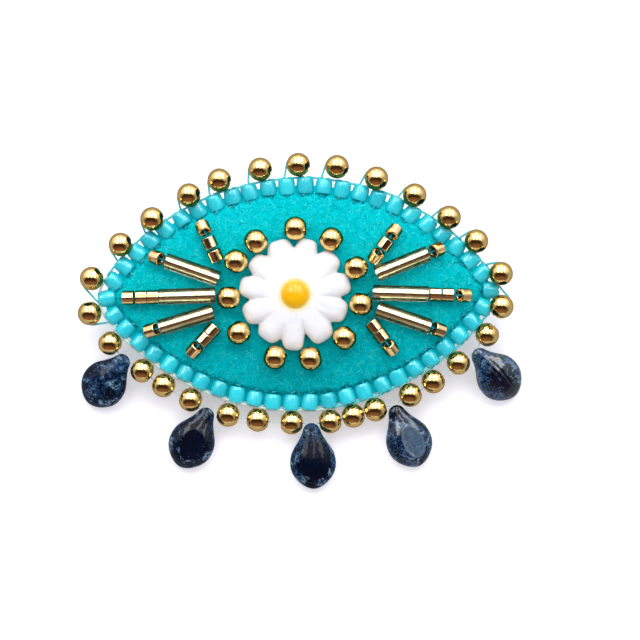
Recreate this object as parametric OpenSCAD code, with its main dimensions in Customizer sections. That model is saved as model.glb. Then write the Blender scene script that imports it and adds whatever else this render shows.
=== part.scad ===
// Beaded eye brooch, lying face up on a flat surface.
// Lengths are in millimetres and angles in degrees.
// X runs along the eye, Y towards its upper edge and Z up from the surface.
// The face frame is the felt's own: z = 0 is its back and the centre of the eye is x = y = 0.

/* [Felt eye] */
// Half the length of the eye, to the middle of the edge beads
rim_half_length = 20.6; // [20.2:0.1:21]
// Half the height of the eye, to the middle of the edge beads
rim_half_height = 11.6; // [11.4:0.1:11.8]
// Radius of the two rounded corners of the eye
rim_tip_r = 2.2; // [2:0.1:2.4]
// Thickness of the felt
felt_thickness = 2; // [1.6:0.1:2.2]

/* [Edge beads] */
// Diameter of the row of seed beads
edge_bead_d = 1.75; // [1.6:0.05:1.75]

/* [Round beads] */
// Diameter of a gold round bead
round_d = 2.55; // [2.35:0.05:2.55]
// Diameter of the hole through a round bead
round_bore_d = 0.9; // [0.8:0.05:1]
// Least that a lash bead stands forward of the felt's middle
lash_raise = 0.5; // [0.4:0.1:0.7]
// Turn of a lash bead's hole away from the rim
lash_turn = 20; // [10:1:25]
// Dip of the far end of a lash bead's hole
lash_dip = 26; // [15:1:30]

/* [Flower] */
// Distance from the flower's centre to its petal tips
flower_r = 6; // [5.8:0.05:6]
// Distance from the flower's centre to the notches between petals
notch_r = 4.9; // [4.7:0.05:5]
// Thickness of the flower near its centre
flower_thickness = 2.5; // [2.2:0.1:2.7]
// Fall of a petal's ridge from the centre to the tip
petal_fall = 0.9; // [0.6:0.1:1.1]
// Depth of the valleys between the petals at the rim
valley_depth = 0.75; // [0.5:0.05:0.85]
// Diameter of the yellow dome
dome_d = 3.1; // [2.9:0.1:3.2]
// Height of the dome over its socket's floor
dome_height = 1.3; // [1.2:0.1:1.4]
// Depth of the dome's socket
socket_depth = 0.6; // [0.5:0.05:0.7]
// Distance from the flower's centre to the middle of the iris beads
iris_r = 7.1; // [7.05:0.05:7.15]

/* [Rays] */
// Diameter of a bugle
bugle_d = 1.7; // [1.5:0.05:1.7]
// Length of a bugle
bugle_length = 6; // [5.8:0.1:6]
// Diameter of a cylinder bead
cylinder_d = 1.5; // [1.45:0.05:1.5]
// Length of a cylinder bead
cylinder_length = 1.2; // [1.1:0.05:1.2]
// Diameter of the hole through a bugle or cylinder bead
tube_bore_d = 0.85; // [0.8:0.05:0.9]

/* [Drops] */
// Length of a drop
drop_length = 7.1; // [6.9:0.1:7.2]
// Width of a drop
drop_width = 4.95; // [4.8:0.05:5]
// Thickness of a drop
drop_thickness = 3; // [2.8:0.1:3.2]
// Diameter of the hole across a drop's neck
drop_bore_d = 0.8; // [0.7:0.05:0.9]
// Distance from a drop's top end to its hole
drop_hole_at = 1; // [0.95:0.05:1.1]

/* [Pin] */
// Length of the pin's plate
pin_length = 25; // [20:0.5:26]
// Width of the pin's plate
pin_width = 4.5; // [4:0.1:5]
// Thickness of the pin's plate
pin_plate = 0.7; // [0.6:0.05:0.8]
// Distance from the felt's back to the outside of the pin
pin_depth = 4.5; // [4.2:0.1:4.8]
// Diameter of the pin's stem
pin_stem_d = 0.8; // [0.7:0.05:0.9]
// Height of the pin above the middle of the eye
pin_y = 5; // [4.5:0.1:5.5]

/* [Threads] */
// Diameter of the beading thread
thread_d = 0.2; // [0.16:0.02:0.22]

/* [Hidden] */
// Gap left between pieces that are sewn against each other
seat = 0.06;
round_r = round_d / 2;
edge_bead_r = edge_bead_d / 2;
felt_middle = felt_thickness / 2;
felt_front = felt_thickness + seat;
// Number of seed beads along the rim, the unit of every place along it
edge_bead_count = 50;
// Roundness of the small curved pieces
$fn = 48;

// The rim is a tip arc and a long arc in each quarter, meeting without a corner.
tip_centre_x = rim_half_length - rim_tip_r;
arc_r = (pow(tip_centre_x, 2) + pow(rim_half_height, 2) - pow(rim_tip_r, 2))
    / (2 * (rim_half_height - rim_tip_r));
arc_centre_y = rim_half_height - arc_r;
// Half the angle that a long arc spans
arc_half_angle = atan2(tip_centre_x, -arc_centre_y);
tip_run = rim_tip_r * (90 - arc_half_angle) * PI / 180;
quarter_run = tip_run + arc_r * arc_half_angle * PI / 180;

// Angle of the rim's outward normal in the left upper quarter, after a run along it
function quarter_normal(run) = run < tip_run
    ? 180 - run / rim_tip_r * 180 / PI
    : 90 + arc_half_angle - (run - tip_run) / arc_r * 180 / PI;
function quarter_point(run, out) =
    let (n = quarter_normal(run), tip = run < tip_run, r = (tip ? rim_tip_r : arc_r) + out)
    [(tip ? -tip_centre_x : 0) + r * cos(n), (tip ? 0 : arc_centre_y) + r * sin(n)];

// Places along the rim are counted in edge beads, clockwise from the left corner.
function rim_turn(place) = (place / edge_bead_count + 1) * 4;
function rim_quarter(place) = floor(rim_turn(place)) % 4;
function quarter_side(q) = [q == 0 || q == 3 ? 1 : -1, q < 2 ? 1 : -1];
function rim_quarter_run(place) =
    let (part = (rim_turn(place) - floor(rim_turn(place))) * quarter_run)
    rim_quarter(place) % 2 == 0 ? part : quarter_run - part;
function rim_point(place, out = 0) =
    let (s = quarter_side(rim_quarter(place)), p = quarter_point(rim_quarter_run(place), out))
    [s.x * p.x, s.y * p.y];
function rim_normal(place) =
    let (s = quarter_side(rim_quarter(place)), n = quarter_normal(rim_quarter_run(place)))
    atan2(s.y * sin(n), s.x * cos(n));

// Each lash bead: place along the rim and distance outside it
LASH = [
    [-0.41, 2.13], [0.58, 2.11], [2.72, 1.95], [4.76, 1.75], [6.96, 1.85],
    [8.65, 2.08], [10.75, 2.15], [12.65, 2.3], [14.57, 2.35], [16.6, 2.07],
    [18.68, 1.94], [20.73, 1.85], [22.55, 1.82], [24.49, 1.6], [25.55, 1.65],
];
lash_place = 0;
lash_out = 1;

// Each fringe bead: place along the rim and distance outside it
FRINGE = [
    [27, 2.25], [29, 2.22], [30.55, 2.22], [31.87, 2.22], [33.74, 2.22],
    [34.88, 2.22], [36.06, 2.35], [37.96, 2.22], [39.65, 2.22], [41.14, 2.38],
    [43.13, 2.22], [44.65, 2.22], [45.94, 2.22], [48.03, 2.35],
];
fringe_place = 0;
fringe_out = 1;

// Each drop: place along the rim, distance of its top end outside it, heading from straight
// down the eye and the fringe bead that the thread comes from
DROPS = [
    [46.96, 1.98, -44.5, 12],
    [42.1, 2.3, -29.3, 9],
    [37, 2.3, 1.4, 6],
    [32.84, 2.5, 22.5, 3],
    [28.03, 2.31, 44.8, 0],
];
drop_place = 0;
drop_out = 1;
drop_heading = 2;
drop_after = 3;

// Half widths of a drop along its length, both as shares of the whole
DROP_OUTLINE = [
    [0, 0], [0.012, 0.15], [0.046, 0.289], [0.09, 0.36], [0.146, 0.408], [0.217, 0.505],
    [0.3, 0.654], [0.377, 0.808], [0.454, 0.925], [0.532, 0.98], [0.609, 1], [0.684, 0.98],
    [0.762, 0.907], [0.839, 0.766], [0.907, 0.58], [0.96, 0.37], [0.99, 0.17], [1, 0],
];
// Bulb of a drop, taken as an ellipsoid: its middle from the top end and its half length
bulb_at = drop_length * 0.617;
bulb_half_length = drop_length - bulb_at;
hole_to_bulb = bulb_at - drop_hole_at;
middle_drop = 2;

// Petals, clockwise from the top of the eye: how far each tip reaches past the flower's
// radius, and the direction of the notch after it and how far that stands out past the usual
PETALS = [
    [0.1, 0, 0.2], [0.1, 30, 0.15], [0, 63, 0.2], [0, 95, 0.05], [-0.15, 129, 0],
    [-0.1, 167, -0.5], [0, 199, 0.2], [-0.15, 232, 0.2], [-0.05, 265, 0.1],
    [0.05, 295.5, 0.2], [0, 325, 0.3],
];
petal_tip = 0;
notch_direction = 1;
notch_out = 2;
// Iris beads, clockwise from the top of the eye: direction, and distance past the usual one
IRIS = [
    [1.4, -0.04], [34.3, -0.06], [67.7, 0], [99.7, 0], [132.8, -0.08], [168, -0.06],
    [199.1, -0.04], [237, 0.2], [268.5, 0.04], [300.6, 0.17], [324.8, -0.03],
];
iris_direction = 0;
iris_out = 1;
flower_at = [-0.3, -0.05];

// Each ray: inner end, heading, bugles, cylinder beads, how far its first and last cylinder
// beads tip into the felt, and the gap between its beads
RAYS = [
    [-8.5, 3.67, 112.5, 0, 3, 8, 37, 0.2],
    [-8.5, 1.78, 159.5, 1, 1, 0, 38, 0.06],
    [-8.9, 0.05, 180.3, 1, 3, 0, 8, 0.06],
    [-9.15, -1.72, 195.3, 1, 1, 0, 24, 0.06],
    [-8.85, -3.28, 226, 0, 3, 0, 28, 0.08],
    [7.88, 3.13, 52.5, 0, 3, 36, 37, 0.08],
    [8.42, 1.92, 20.6, 1, 1, 0, 38, 0.06],
    [8, -0.03, -3, 1, 3, 0, 36, 0.14],
    [8.42, -1.8, -19.8, 1, 1, 0, 28, 0.06],
    [7.7, -3.15, -54, 0, 3, 0, 34, 0.1],
];
ray_x = 0;
ray_y = 1;
ray_heading = 2;
ray_bugles = 3;
ray_cylinders = 4;
first_tip = 5;
last_tip = 6;
ray_gap = 7;
left_rays = [0:4];
right_rays = [5:9];

// Tip of the cylinder bead at this place in its ray
function bead_tip(ray, i) = i == ray[ray_cylinders] - 1 ? ray[last_tip]
    : i == 0 ? -ray[first_tip] : 0;
// Half the stretch of the ray that a tipped cylinder bead takes
function bead_reach(tip) =
    cylinder_length / 2 * cos(tip) + cylinder_d / 2 * abs(sin(tip));
// Distance from a ray's inner end to the middle of one of its cylinder beads
function bead_along(ray, i) = bead_reach(bead_tip(ray, i)) + (i > 0
    ? bead_along(ray, i - 1) + bead_reach(bead_tip(ray, i - 1)) + ray[ray_gap]
    : ray[ray_bugles] * (bugle_length + ray[ray_gap]));
// Height of a bead's middle where its lower side lies on the felt
function tube_height(tip, d, len) =
    felt_front + d / 2 * cos(tip) + len / 2 * abs(sin(tip));
function on_ray(ray, along, height) =
    [ray[ray_x] + along * cos(ray[ray_heading]),
     ray[ray_y] + along * sin(ray[ray_heading]), height];

// Rest: the lugs' round ends and the middle drop's bulb touch the surface.
lug_r = 1.4;
lug_z = -(pin_depth - lug_r);
// Half the height of a bulb that lies dipped by this angle
function bulb_half_height(dip) =
    norm([bulb_half_length * sin(dip), drop_thickness / 2 * cos(dip)]);
// Approximate lean, good enough for the height of the bulb
first_lean = 10;
drop_run = pin_y + rim_half_height + DROPS[middle_drop][drop_out] + bulb_at;
drop_rise = felt_middle - lug_z;
lean = atan2(drop_rise, drop_run)
    + asin((lug_r - bulb_half_height(first_lean)) / norm([drop_run, drop_rise]));
lift = lug_r - (pin_y * sin(lean) + lug_z * cos(lean));

// Face frame to resting place, before the sideways shift
function leaned(p) = [
    p.x,
    p.y * cos(lean) - p.z * sin(lean),
    p.y * sin(lean) + p.z * cos(lean) + lift
];
function heading_vector(drop) = [sin(drop[drop_heading]), -cos(drop[drop_heading])];
function drop_top(drop) = rim_point(drop[drop_place], drop[drop_out]);
// Hole of a drop in the face frame
function drop_hole(drop) =
    let (p = drop_top(drop) + drop_hole_at * heading_vector(drop)) [p.x, p.y, felt_middle];
// Dip at which the bulb just touches the surface, found in a few rounds
function dip_to_rest(height, dip = 10, rounds = 8) = rounds == 0 ? dip
    : dip_to_rest(height, asin((height - bulb_half_height(dip)) / hole_to_bulb), rounds - 1);
function drop_dip(drop) = dip_to_rest(leaned(drop_hole(drop)).z);
function bulb_centre(drop) =
    let (dip = drop_dip(drop), h = heading_vector(drop), run = hole_to_bulb * cos(dip))
    leaned(drop_hole(drop)) + [run * h.x, run * h.y, -hole_to_bulb * sin(dip)];

// Height of a lash bead's middle: it leans on the edge beads where it is close to them
function lash_height(bead) =
    let (reach = round_r + edge_bead_r + seat)
    felt_middle + max(lash_raise, sqrt(max(0, pow(reach, 2) - pow(bead[lash_out], 2))));

// Outer limits of the resting brooch, which the origin is centred on
lash_spots = [for (b = LASH) let (p = rim_point(b[lash_place], b[lash_out]))
    leaned([p.x, p.y, lash_height(b)])];
bulb_spots = [for (d = DROPS) bulb_centre(d)];
left_limit = min(min([for (p = lash_spots) p.x - round_r]),
    min([for (p = bulb_spots) p.x - drop_width / 2]));
right_limit = max(max([for (p = lash_spots) p.x + round_r]),
    max([for (p = bulb_spots) p.x + drop_width / 2]));
upper_limit = max([for (p = lash_spots) p.y + round_r]);
lower_limit = min([for (p = bulb_spots) p.y - bulb_half_length]);
shift_x = -(left_limit + right_limit) / 2;
shift_y = -(upper_limit + lower_limit) / 2;

function numbered(name, count) =
    [for (i = [1:count]) str(name, i < 10 && count > 9 ? "0" : "", i)];
IRIS_NODES = numbered("iris_bead_", len(IRIS));
LASH_NODES = numbered("lash_bead_", len(LASH));
DROP_NODES = numbered("drop_", len(DROPS));
BUGLE_RAYS = [for (ray = RAYS) if (ray[ray_bugles] > 0) ray];
BUGLE_NODES = numbered("bugle_", len(BUGLE_RAYS));

// Placing

module on_face() {
    translate([shift_x, shift_y, lift]) rotate([lean, 0, 0]) children();
}

// A bead with its hole along the rim
module by_rim(place, out, height) {
    p = rim_point(place, out);
    translate([p.x, p.y, height]) rotate([0, 0, rim_normal(place)]) children();
}

// Beads and threads

module round_bead() {
    difference() {
        sphere(d = round_d);
        rotate([90, 0, 0]) cylinder(d = round_bore_d, h = round_d * 2, center = true);
    }
}

// A tube bead along X, with the sharp corners of its ends taken off
module tube_bead(d, len) {
    bore_r = tube_bore_d / 2;
    corner = 0.06;
    rotate([0, 90, 0]) rotate_extrude() polygon([
        [bore_r, -len / 2], [d / 2 - corner, -len / 2], [d / 2, -len / 2 + corner],
        [d / 2, len / 2 - corner], [d / 2 - corner, len / 2], [bore_r, len / 2],
    ]);
}

// Unit vector along a thread at one of its points
function thread_direction(route, i) =
    let (d = route[min(i + 1, len(route) - 1)] - route[max(i - 1, 0)]) d / norm(d);
// One ring of a thread's tube
function thread_ring(route, i, r, sides) =
    let (t = thread_direction(route, i), side = cross(t, [0, 0, 1]),
         u = side / norm(side), v = cross(u, t))
    [for (k = [0:sides - 1]) let (a = 360 * k / sides) route[i] + r * (u * cos(a) + v * sin(a))];
// Faces between successive rings, round and round
function ring_faces(rings, sides, closed) =
    [for (i = [0:rings - (closed ? 1 : 2)]) for (k = [0:sides - 1])
        let (j = (i + 1) % rings, n = (k + 1) % sides)
        [i * sides + k, i * sides + n, j * sides + n, j * sides + k]];

module thread(route, r = thread_d / 2, sides = 8) {
    rings = len(route);
    points = [for (i = [0:rings - 1]) each thread_ring(route, i, r, sides)];
    caps = [[for (k = [sides - 1:-1:0]) k], [for (k = [0:sides - 1]) (rings - 1) * sides + k]];
    polyhedron(points, concat(caps, ring_faces(rings, sides, false)), convexity = 10);
}

// Felt

// Outline of the eye, set in from the middle of the edge beads
module eye_outline(inset) {
    half_span = tip_centre_x + (rim_tip_r - inset) * cos(90 - arc_half_angle);
    intersection() {
        translate([0, arc_centre_y]) circle(r = arc_r - inset, $fn = 180);
        translate([0, -arc_centre_y]) circle(r = arc_r - inset, $fn = 180);
        square([2 * half_span, 3 * rim_half_height], center = true);
    }
    for (side = [-1, 1]) translate([side * tip_centre_x, 0]) circle(r = rim_tip_r - inset);
}

module felt_base() {
    color("darkturquoise") on_face()
        linear_extrude(felt_thickness) eye_outline(edge_bead_r + seat);
}

// Places along the rim at which the edge beads' tube has a ring, closer at the corners
tip_rings = 3;
arc_rings = 12;
quarter_shares = concat(
    [for (i = [0:tip_rings - 1]) tip_run / quarter_run * i / tip_rings],
    [for (i = [0:arc_rings - 1]) 1 - (1 - tip_run / quarter_run) * (1 - i / arc_rings)]);
tube_places = [for (q = [0:3]) for (i = [0:len(quarter_shares) - 1])
    (q % 2 == 0 ? q + quarter_shares[i]
        : i == 0 ? q : q + 1 - quarter_shares[len(quarter_shares) - i]) * edge_bead_count / 4];

module edge_beads() {
    sides = 10;
    points = [for (place = tube_places) for (k = [0:sides - 1])
        let (a = 360 * k / sides, p = rim_point(place, edge_bead_r * cos(a)))
        [p.x, p.y, felt_middle + edge_bead_r * sin(a)]];
    color("mediumturquoise") on_face()
        polyhedron(points, ring_faces(len(tube_places), sides, true), convexity = 10);
}

// Flower

// Directions round the flower: each is [direction, petal, place across it from -1 to 1]
petal_steps = 8;
function petal_before(i) = (i + len(PETALS) - 1) % len(PETALS);
flower_round = [for (i = [0:len(PETALS) - 1]) for (k = [0:petal_steps - 1])
    let (u = 2 * k / petal_steps - 1, to = PETALS[i][notch_direction],
         from = PETALS[petal_before(i)][notch_direction] - (i == 0 ? 360 : 0))
    [from + (to - from) * (u + 1) / 2, i, u]];
// Height of the petals' outermost line, and of the rounding below it
edge_height = 0.7;
under_edge_height = 0.3;
// Shares of the radius: where the flat underside ends, where it has rounded up to the height
// above, where the top begins to round down, and where the top has its rings
underside_share = 0.86;
under_edge_share = 0.97;
shoulder_share = 0.72;
top_shares = [1, 0.97, 0.88, 0.7, 0.48];

// Radius of the flower's outline at a place across a petal
function petal_edge(i, u) =
    let (notch = notch_r + PETALS[u < 0 ? petal_before(i) : i][notch_out])
    notch + (flower_r + PETALS[i][petal_tip] - notch) * sqrt(1 - pow(u, 2));
// Height of the petals' top at a share of that radius
function petal_top(share, u) =
    let (ridge = flower_thickness - petal_fall * pow(share, 2),
         valley = valley_depth * share * pow(abs(u), 1.5),
         past = max(0, share - shoulder_share) / (1 - shoulder_share))
    edge_height + (ridge - valley - edge_height) * sqrt(1 - pow(past, 2));
// Section of the flower from its thread hole along the underside, over the rim and back
function flower_section(i, u) =
    let (edge = petal_edge(i, u), hole_r = round_bore_d / 2, socket_r = dome_d / 2 + seat,
         floor_height = flower_thickness - socket_depth)
    concat(
        [[hole_r, 0], [edge * underside_share, 0], [edge * under_edge_share, under_edge_height]],
        [for (share = top_shares) [edge * share, petal_top(share, u)]],
        [[socket_r, petal_top(socket_r / edge, u)], [socket_r, floor_height],
            [hole_r, floor_height]]);

module at_flower() {
    on_face() translate([flower_at.x, flower_at.y, felt_front]) children();
}

module flower() {
    sides = len(flower_round);
    sections = [for (way = flower_round) flower_section(way[1], way[2])];
    rings = len(sections[0]);
    points = [for (ring = [0:rings - 1]) for (i = [0:sides - 1])
        let (p = sections[i][ring], direction = flower_round[i][0])
        [p.x * sin(direction), p.x * cos(direction), p.y]];
    color("ghostwhite") at_flower()
        polyhedron(points, ring_faces(rings, sides, true), convexity = 10);
}

module flower_centre() {
    wall = 0.45;
    cap = dome_height - wall;
    cap_r = (pow(dome_d / 2, 2) + pow(cap, 2)) / (2 * cap);
    color("gold") at_flower() translate([0, 0, flower_thickness - socket_depth + seat]) {
        cylinder(d = dome_d, h = wall);
        intersection() {
            translate([0, 0, dome_height - cap_r]) sphere(r = cap_r);
            cylinder(d = dome_d, h = dome_height * 2);
        }
    }
}

module iris_bead(i) {
    color("goldenrod") at_flower() rotate([0, 0, 90 - IRIS[i][iris_direction]])
        translate([iris_r + IRIS[i][iris_out], 0, round_r]) round_bead();
}

// Rays

module on_ray_at(ray, along, height) {
    translate(on_ray(ray, along, height)) rotate([0, 0, ray[ray_heading]]) children();
}

module bugle(i) {
    ray = BUGLE_RAYS[i];
    color("goldenrod") on_face()
        on_ray_at(ray, bugle_length / 2, tube_height(0, bugle_d, bugle_length))
            tube_bead(bugle_d, bugle_length);
}

module cylinder_beads(rays) {
    color("goldenrod") on_face() for (r = rays) for (i = [0:RAYS[r][ray_cylinders] - 1]) {
        tip = bead_tip(RAYS[r], i);
        on_ray_at(RAYS[r], bead_along(RAYS[r], i), tube_height(tip, cylinder_d, cylinder_length))
            rotate([0, tip, 0]) tube_bead(cylinder_d, cylinder_length);
    }
}

// Where a ray's thread bends: how far it rides up in the flat bead's hole, as a share of the
// tip's sine, and how low it passes in the tipped bead's hole
thread_rise = 0.38;
thread_low = 0.12;
// How far the thread reaches out of a ray's last bead
thread_tail = 0.2;
// Route of a ray's thread through its beads, from the inner end to the outer
function ray_route(ray) =
    let (last = ray[ray_cylinders] - 1,
         start_tip = last > 0 ? ray[first_tip] : 0,
         end_tip = ray[last_tip],
         flat = tube_height(0, cylinder_d, cylinder_length),
         half = cylinder_length / 2,
         end_along = bead_along(ray, last),
         end_height = tube_height(end_tip, cylinder_d, cylinder_length),
         start_along = bead_along(ray, 0),
         start_height = tube_height(start_tip, cylinder_d, cylinder_length))
    concat(
        start_tip > 0
            ? [on_ray(ray, start_along - (half + thread_tail) * cos(start_tip),
                   start_height - (half + thread_tail) * sin(start_tip)),
               on_ray(ray, start_along + half * cos(start_tip),
                   start_height + half * sin(start_tip) - thread_low * cos(start_tip)),
               on_ray(ray, start_along + bead_reach(start_tip) + ray[ray_gap],
                   flat + thread_rise * sin(start_tip))]
            : [on_ray(ray, -thread_tail, flat)],
        [on_ray(ray, end_along - bead_reach(end_tip) - ray[ray_gap],
             flat + thread_rise * sin(end_tip)),
         on_ray(ray, end_along - half * cos(end_tip),
             end_height + half * sin(end_tip) - thread_low * cos(end_tip)),
         on_ray(ray, end_along + (half + thread_tail) * cos(end_tip),
             end_height - (half + thread_tail) * sin(end_tip))]);

module ray_threads() {
    color("darkcyan") on_face() for (ray = RAYS) thread(ray_route(ray));
}

// Lashes and fringe

module lash_bead(i) {
    color("goldenrod") on_face()
        by_rim(LASH[i][lash_place], LASH[i][lash_out], lash_height(LASH[i]))
            rotate([0, 0, -lash_turn]) rotate([-lash_dip, 0, 0]) round_bead();
}

module fringe_beads() {
    color("goldenrod") on_face()
        for (b = FRINGE) by_rim(b[fringe_place], b[fringe_out], felt_middle) round_bead();
}

// Clearances of the fringe thread: outside a bead's hole, the same beside a drop, and outside
// a drop's hole
bead_mouth_clear = 0.02;
bead_mouth_by_drop = 0.08;
drop_mouth_clear = 0.3;
// Its way behind a drop's neck: below the top end, beside the middle line, and behind the hole
neck_below = 0.2;
neck_beside = 0.65;
neck_behind = 0.9;

// Drop that hangs after a fringe bead, or none
function drops_after(i) = [for (d = DROPS) if (d[drop_after] == i) d];
// Where the thread bends outside a fringe bead, on the side given by 1 or -1
function bead_mouth(i, side) =
    let (b = FRINGE[i], n = rim_normal(b[fringe_place]),
         p = rim_point(b[fringe_place], b[fringe_out]),
         by_drop = len(drops_after(side > 0 ? i : i - 1)) > 0,
         reach = round_r + (by_drop ? bead_mouth_by_drop : bead_mouth_clear))
    leaned([p.x + side * reach * sin(n), p.y - side * reach * cos(n), felt_middle]);
// Where the thread leaves a drop's hole, on the side given by 1 or -1
function drop_mouth(drop, side) =
    let (h = heading_vector(drop), reach = drop_bore_d + drop_mouth_clear)
    leaned(drop_hole(drop)) + side * reach * [h.y, -h.x, 0];
// Where the thread passes behind the top of a drop's neck on its way to that hole
function behind_neck(drop, side) =
    let (h = heading_vector(drop),
         p = drop_top(drop) + neck_below * h + side * neck_beside * [h.y, -h.x])
    leaned([p.x, p.y, felt_middle - neck_behind]);
fringe_route = [for (i = [0:len(FRINGE) - 1]) each concat(
    [bead_mouth(i, -1), bead_mouth(i, 1)],
    [for (d = drops_after(i)) each [behind_neck(d, -1), drop_mouth(d, -1),
        drop_mouth(d, 1), behind_neck(d, 1)]])];

module fringe_thread() {
    color("darkcyan") translate([shift_x, shift_y, 0]) thread(fringe_route);
}

// Drops

// A flattened pear with its hole at the origin, pointing along -Y
module pear() {
    scale([1, 1, drop_thickness / drop_width]) rotate([-90, 0, 0]) rotate_extrude()
        polygon([for (p = DROP_OUTLINE) [p.y * drop_width / 2, drop_hole_at - p.x * drop_length]]);
}

module drop_shape() {
    dish_r = 5;
    dish_depth = 0.3;
    difference() {
        pear();
        rotate([0, 90, 0]) cylinder(d = drop_bore_d, h = drop_width, center = true);
        translate([0, -hole_to_bulb, drop_thickness / 2 - dish_depth + dish_r])
            sphere(r = dish_r);
    }
}

module drop(i) {
    spot = leaned(drop_hole(DROPS[i]));
    color("midnightblue") translate([spot.x + shift_x, spot.y + shift_y, spot.z])
        rotate([0, 0, DROPS[i][drop_heading]]) rotate([drop_dip(DROPS[i]), 0, 0]) drop_shape();
}

// Pin

// A lug: an upright tab with a round end, that the stem passes through
module lug(thickness) {
    rotate([0, 90, 0]) linear_extrude(thickness, center = true) {
        translate([-lug_z, 0]) circle(r = lug_r);
        translate([pin_plate / 2, -lug_r]) square([-lug_z - pin_plate / 2, 2 * lug_r]);
    }
}

module pin_back() {
    end_r = pin_width / 2;
    lug_x = pin_length / 2 - end_r;
    lug_thickness = 1.2;
    stem_overhang = 0.6;
    stem_end = lug_x + lug_thickness / 2 + stem_overhang;
    color("silver") on_face() translate([0, pin_y, -seat]) {
        translate([0, 0, -pin_plate]) linear_extrude(pin_plate) {
            square([2 * lug_x, pin_width], center = true);
            for (side = [-1, 1]) translate([side * lug_x, 0]) circle(r = end_r);
        }
        for (side = [-1, 1]) translate([side * lug_x, 0, seat]) lug(lug_thickness);
        translate([0, 0, lug_z + seat]) rotate([0, 90, 0])
            cylinder(d = pin_stem_d, h = 2 * stem_end, center = true);
    }
}

felt_base();
edge_beads();
flower();
flower_centre();
for (i = [0:len(IRIS) - 1])
    iris_bead(i);
for (i = [0:len(BUGLE_RAYS) - 1])
    bugle(i);
cylinder_beads(left_rays);  // cylinder_beads_left
cylinder_beads(right_rays);  // cylinder_beads_right
ray_threads();
for (i = [0:len(LASH) - 1])
    lash_bead(i);
fringe_beads();
fringe_thread();
for (i = [0:len(DROPS) - 1])
    drop(i);
pin_back();
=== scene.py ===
"""Finish of the beaded eye brooch. Lengths are in millimetres until a mesh is made."""

import math
from collections import namedtuple

import bmesh
import bpy
import numpy as np
from mathutils import Matrix, Vector, noise


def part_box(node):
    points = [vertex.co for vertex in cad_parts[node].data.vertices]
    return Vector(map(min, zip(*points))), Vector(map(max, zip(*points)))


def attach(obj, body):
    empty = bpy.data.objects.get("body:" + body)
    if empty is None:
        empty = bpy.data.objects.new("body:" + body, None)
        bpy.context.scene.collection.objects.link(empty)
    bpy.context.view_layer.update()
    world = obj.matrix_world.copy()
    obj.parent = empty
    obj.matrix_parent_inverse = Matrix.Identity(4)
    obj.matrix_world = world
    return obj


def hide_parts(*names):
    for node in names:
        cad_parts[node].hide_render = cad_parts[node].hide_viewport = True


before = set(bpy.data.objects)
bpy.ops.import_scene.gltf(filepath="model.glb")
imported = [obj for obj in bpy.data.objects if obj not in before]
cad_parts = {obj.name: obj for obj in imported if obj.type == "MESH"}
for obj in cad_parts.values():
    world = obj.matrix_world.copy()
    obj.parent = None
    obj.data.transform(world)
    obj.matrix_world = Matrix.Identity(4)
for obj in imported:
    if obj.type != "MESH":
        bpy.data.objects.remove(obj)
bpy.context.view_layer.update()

MM = 0.001
rng = np.random.default_rng(11)

# Driving sizes, the same as in the part's source
RIM_HALF_LENGTH = 20.6
RIM_HALF_HEIGHT = 11.6
RIM_TIP_R = 2.2
FELT_THICKNESS = 2.0
EDGE_BEAD_COUNT = 50
EDGE_BEAD_D = 1.75
ROUND_D = 2.55
ROUND_BORE_D = 0.9
LASH_RAISE = 0.5
LASH_TURN = 20
LASH_DIP = 26
FLOWER_R = 6.0
NOTCH_R = 4.9
FLOWER_THICKNESS = 2.5
PETAL_FALL = 0.9
VALLEY_DEPTH = 0.75
DOME_D = 3.1
DOME_HEIGHT = 1.3
SOCKET_DEPTH = 0.6
IRIS_R = 7.1
BUGLE_D = 1.7
BUGLE_LENGTH = 6.0
CYLINDER_D = 1.5
CYLINDER_LENGTH = 1.2
TUBE_BORE_D = 0.85
DROP_LENGTH = 7.1
DROP_WIDTH = 4.95
DROP_THICKNESS = 3.0
DROP_HOLE_AT = 1.0
THREAD_D = 0.2
SEAT = 0.06

# Radii of the threads, which lie flatter or are pulled thinner here and there
EDGING_R = THREAD_D / 2 * 1.2
STITCH_R = THREAD_D / 2 * 0.9
LASH_THREAD_R = THREAD_D / 2 * 1.1
RAY_THREAD_R = THREAD_D / 2 * 0.8
FRINGE_THREAD_R = THREAD_D / 2 * 0.55
TIE_R = THREAD_D / 2 * 0.5

FELT_MIDDLE = FELT_THICKNESS / 2
FELT_FRONT = FELT_THICKNESS + SEAT
FLOWER_AT = (-0.3, -0.05)

# Each lash bead and fringe bead: place along the rim and distance outside it
LASH = [
    (-0.41, 2.13), (0.58, 2.11), (2.72, 1.95), (4.76, 1.75), (6.96, 1.85),
    (8.65, 2.08), (10.75, 2.15), (12.65, 2.3), (14.57, 2.35), (16.6, 2.07),
    (18.68, 1.94), (20.73, 1.85), (22.55, 1.82), (24.49, 1.6), (25.55, 1.65),
]
FRINGE = [
    (27, 2.25), (29, 2.22), (30.55, 2.22), (31.87, 2.22), (33.74, 2.22),
    (34.88, 2.22), (36.06, 2.35), (37.96, 2.22), (39.65, 2.22), (41.14, 2.38),
    (43.13, 2.22), (44.65, 2.22), (45.94, 2.22), (48.03, 2.35),
]
# Each drop: place along the rim, distance outside it, heading and the fringe bead before it
Drop = namedtuple("Drop", "place out heading after")
DROPS = [
    Drop(46.96, 1.98, -44.5, 12),
    Drop(42.1, 2.3, -29.3, 9),
    Drop(37, 2.3, 1.4, 6),
    Drop(32.84, 2.5, 22.5, 3),
    Drop(28.03, 2.31, 44.8, 0),
]
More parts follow.
